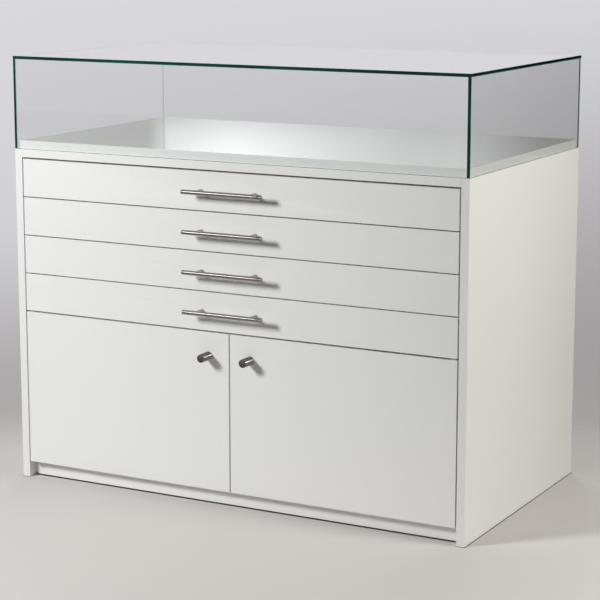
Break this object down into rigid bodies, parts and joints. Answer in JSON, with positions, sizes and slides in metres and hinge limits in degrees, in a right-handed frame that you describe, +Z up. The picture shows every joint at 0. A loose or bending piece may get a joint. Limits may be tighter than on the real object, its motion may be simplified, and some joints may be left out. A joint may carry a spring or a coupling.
{
  "type": "pedestal display case",
  "caption": "White floor-standing display case: drawers over a cupboard with hinged doors, raised gloss deck under a lift-off glass hood, steel bar handles and knobs.",
  "frame": {"origin": "on the floor, in the middle of the whole footprint with the handles counted in", "axes": "+X to the right seen from the front, along the width; -Y towards the front, where the drawers and doors open; +Z up"},
  "size_m": [1.07, 0.635, 0.935],
  "materials": {
    "white_board": "satin white melamine on chipboard, matching edge bands",
    "gloss_deck": "gloss white laminate",
    "drawer_board": "matt white coated board",
    "clear_glass": "clear float glass with polished dark green edges",
    "stainless": "brushed stainless steel",
    "zinc_steel": "bright zinc-plated sheet steel",
    "pale_plastic": "matt moulded nylon"
  },
  "bodies": {
    "cabinet": {"left_side_panel": "white_board", "right_side_panel": "white_board", "top_board": "white_board", "middle_board": "white_board", "bottom_board": "white_board", "back_panel": "white_board", "plinth_board": "white_board", "display_deck": "gloss_deck", "left_slide_outers": "zinc_steel", "right_slide_outers": "zinc_steel", "door_pivots": "zinc_steel", "door_pivot_screws": "zinc_steel", "door_catches": "pale_plastic"},
    "hood": {"hood_top_glass": "clear_glass", "hood_front_glass": "clear_glass", "hood_back_glass": "clear_glass", "hood_left_glass": "clear_glass", "hood_right_glass": "clear_glass"},
    "drawer_1": {"drawer_1_front": "white_board", "drawer_1_sides": "drawer_board", "drawer_1_back": "drawer_board", "drawer_1_bottom": "drawer_board", "drawer_1_handle": "stainless", "drawer_1_handle_screws": "zinc_steel", "drawer_1_slide_inner": "zinc_steel"},
    "drawer_1_runner": {"drawer_1_slide_middle": "zinc_steel"},
    "drawer_2": {"drawer_2_front": "white_board", "drawer_2_sides": "drawer_board", "drawer_2_back": "drawer_board", "drawer_2_bottom": "drawer_board", "drawer_2_handle": "stainless", "drawer_2_handle_screws": "zinc_steel", "drawer_2_slide_inner": "zinc_steel"},
    "drawer_2_runner": {"drawer_2_slide_middle": "zinc_steel"},
    "drawer_3": {"drawer_3_front": "white_board", "drawer_3_sides": "drawer_board", "drawer_3_back": "drawer_board", "drawer_3_bottom": "drawer_board", "drawer_3_handle": "stainless", "drawer_3_handle_screws": "zinc_steel", "drawer_3_slide_inner": "zinc_steel"},
    "drawer_3_runner": {"drawer_3_slide_middle": "zinc_steel"},
    "drawer_4": {"drawer_4_front": "white_board", "drawer_4_sides": "drawer_board", "drawer_4_back": "drawer_board", "drawer_4_bottom": "drawer_board", "drawer_4_handle": "stainless", "drawer_4_handle_screws": "zinc_steel", "drawer_4_slide_inner": "zinc_steel"},
    "drawer_4_runner": {"drawer_4_slide_middle": "zinc_steel"},
    "left_door": {"left_door": "white_board", "left_door_knob": "stainless", "left_door_knob_screw": "zinc_steel", "left_door_bushes": "pale_plastic", "left_door_strike": "zinc_steel"},
    "right_door": {"right_door": "white_board", "right_door_knob": "stainless", "right_door_knob_screw": "zinc_steel", "right_door_bushes": "pale_plastic", "right_door_strike": "zinc_steel"}
  },
  "joints": [
    {"name": "hood_lift", "type": "slide", "parent": "cabinet", "child": "hood", "axis": [0, 0, 1], "range_m": [0, 0.25]},
    {"name": "drawer_1_slide", "type": "slide", "parent": "cabinet", "child": "drawer_1", "axis": [0, -1, 0], "range_m": [0, 0.5]},
    {"name": "drawer_1_runner_slide", "type": "slide", "parent": "cabinet", "child": "drawer_1_runner", "axis": [0, -1, 0], "range_m": [0, 0.25]},
    {"name": "drawer_2_slide", "type": "slide", "parent": "cabinet", "child": "drawer_2", "axis": [0, -1, 0], "range_m": [0, 0.5]},
    {"name": "drawer_2_runner_slide", "type": "slide", "parent": "cabinet", "child": "drawer_2_runner", "axis": [0, -1, 0], "range_m": [0, 0.25]},
    {"name": "drawer_3_slide", "type": "slide", "parent": "cabinet", "child": "drawer_3", "axis": [0, -1, 0], "range_m": [0, 0.5]},
    {"name": "drawer_3_runner_slide", "type": "slide", "parent": "cabinet", "child": "drawer_3_runner", "axis": [0, -1, 0], "range_m": [0, 0.25]},
    {"name": "drawer_4_slide", "type": "slide", "parent": "cabinet", "child": "drawer_4", "axis": [0, -1, 0], "range_m": [0, 0.5]},
    {"name": "drawer_4_runner_slide", "type": "slide", "parent": "cabinet", "child": "drawer_4_runner", "axis": [0, -1, 0], "range_m": [0, 0.25]},
    {"name": "left_door_hinge", "type": "hinge", "parent": "cabinet", "child": "left_door", "pos_m": [-0.504, -0.2765, 0.2], "axis": [0, 0, -1], "range_deg": [0, 110]},
    {"name": "right_door_hinge", "type": "hinge", "parent": "cabinet", "child": "right_door", "pos_m": [0.504, -0.2765, 0.2], "axis": [0, 0, 1], "range_deg": [0, 110]}
  ],
  "couplings": [
    {"joint": "drawer_1_runner_slide", "follows": "drawer_1_slide", "ratio": 0.5},
    {"joint": "drawer_2_runner_slide", "follows": "drawer_2_slide", "ratio": 0.5},
    {"joint": "drawer_3_runner_slide", "follows": "drawer_3_slide", "ratio": 0.5},
    {"joint": "drawer_4_runner_slide", "follows": "drawer_4_slide", "ratio": 0.5}
  ]
}
